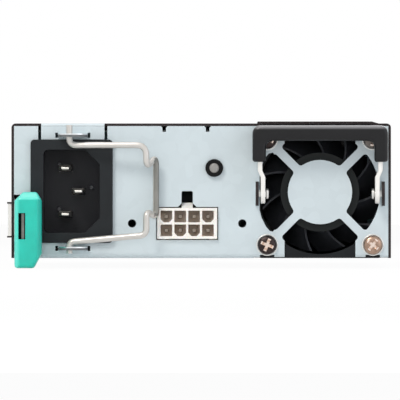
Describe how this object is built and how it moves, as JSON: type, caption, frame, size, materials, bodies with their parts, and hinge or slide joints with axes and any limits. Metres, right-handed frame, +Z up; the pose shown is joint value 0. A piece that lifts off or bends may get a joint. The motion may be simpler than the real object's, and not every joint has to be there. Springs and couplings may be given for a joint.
{
  "type": "hot swap server power supply",
  "caption": "Long flat sheet metal power supply that slides into a server: mains inlet with wire bail, small fan behind a stamped grille with folding handle, thumb latch and card edge.",
  "frame": {"origin": "middle of the case's underside, half way between the front face and the rear wall", "axes": "+X to the right as seen from the front, where the fan is; +Y from the front face to the rear card edge; +Z up"},
  "size_m": [0.1164, 0.318, 0.0444],
  "materials": {
    "galvanised_steel": "galvanised, satin",
    "inlet_plastic": "moulded, satin",
    "nickel_pins": "nickel plated",
    "bail_steel": "zinc plated wire",
    "black_lead": "PVC insulation",
    "white_lead": "PVC insulation",
    "green_lead": "PVC insulation",
    "connector_plastic": "natural nylon",
    "tinned_contacts": "tin plated",
    "black_plastic": "moulded, satin",
    "lens_plastic": "clear grey, frosted",
    "impeller_plastic": "moulded, satin",
    "ground_steel": "ground",
    "sintered_bronze": "sintered, oiled",
    "magnet_rubber": "bonded ferrite",
    "core_steel": "stacked laminations",
    "nickel_screws": "nickel plated, worn",
    "strap_steel": "zinc plated",
    "grip_plastic": "moulded, fine texture",
    "rivet_steel": "zinc plated",
    "teal_plastic": "moulded, smooth",
    "spring_steel": "spring temper",
    "circuit_board": "solder mask",
    "natural_nylon": "moulded",
    "black_film": "polyester film",
    "gold_pads": "gold plated",
    "ferrite": "sintered",
    "copper_wire": "enamelled",
    "yellow_plastic": "moulded",
    "brown_plastic": "moulded",
    "yellow_tape": "polyester tape",
    "blue_plastic": "moulded",
    "sink_aluminium": "extruded",
    "epoxy_black": "moulded epoxy",
    "capacitor_sleeve": "shrink sleeve",
    "tinned_copper": "tin plated"
  },
  "bodies": {
    "case": {"base_chassis": "galvanised_steel", "top_cover": "galvanised_steel", "inlet_housing": "inlet_plastic", "inlet_pins": "nickel_pins", "live_lead": "black_lead", "neutral_lead": "white_lead", "earth_lead": "green_lead", "connector_housing": "connector_plastic", "connector_pins": "tinned_contacts", "led_holder": "black_plastic", "led_lens": "lens_plastic", "fan_frame": "black_plastic", "fan_bearing": "sintered_bronze", "fan_stator": "core_steel", "fan_screws": "nickel_screws", "handle_rivets": "rivet_steel", "latch_spring": "spring_steel", "main_board": "circuit_board", "board_supports": "natural_nylon", "insulating_film": "black_film", "edge_contacts": "gold_pads", "choke_core": "ferrite", "choke_winding": "copper_wire", "choke_base_plate": "black_plastic", "x_capacitor": "yellow_plastic", "mains_fuse": "brown_plastic", "boost_core": "ferrite", "boost_winding": "yellow_tape", "inrush_relay": "blue_plastic", "bridge_heat_sink": "sink_aluminium", "bridge_rectifier": "epoxy_black", "bulk_capacitors": "capacitor_sleeve", "primary_heat_sink": "sink_aluminium", "power_transistors": "epoxy_black", "control_board": "circuit_board", "control_chips": "epoxy_black", "transformer_core": "ferrite", "transformer_winding": "yellow_tape", "secondary_heat_sink": "sink_aluminium", "output_choke_core": "ferrite", "output_choke_winding": "copper_wire", "output_capacitors": "capacitor_sleeve", "bus_bars": "tinned_copper", "fan_lead": "black_lead"},
    "fan_rotor": {"fan_impeller": "impeller_plastic", "fan_shaft": "ground_steel", "fan_magnet": "magnet_rubber"},
    "handle": {"handle_strap": "strap_steel", "handle_grip": "grip_plastic"},
    "bail": {"bail_wire": "bail_steel"},
    "latch": {"latch_cap": "teal_plastic", "latch_blade": "spring_steel"}
  },
  "joints": [
    {"name": "fan_spin", "type": "hinge", "parent": "case", "child": "fan_rotor", "pos_m": [0.036, -0.1475, 0.02], "axis": [0, 1, 0], "continuous": true},
    {"name": "handle_fold", "type": "hinge", "parent": "case", "child": "handle", "pos_m": [0.036, -0.1523, 0.0195], "axis": [1, 0, 0], "range_deg": [0, 95]},
    {"name": "bail_swing", "type": "hinge", "parent": "case", "child": "bail", "pos_m": [-0.0399, -0.1515, 0.02], "axis": [0, 0, -1], "range_deg": [0, 100]},
    {"name": "latch_press", "type": "hinge", "parent": "case", "child": "latch", "pos_m": [-0.05565, -0.1055, 0.0086], "axis": [0, 0, 1], "range_deg": [0, 1.8], "stiffness_Nm_per_rad": 8}
  ]
}
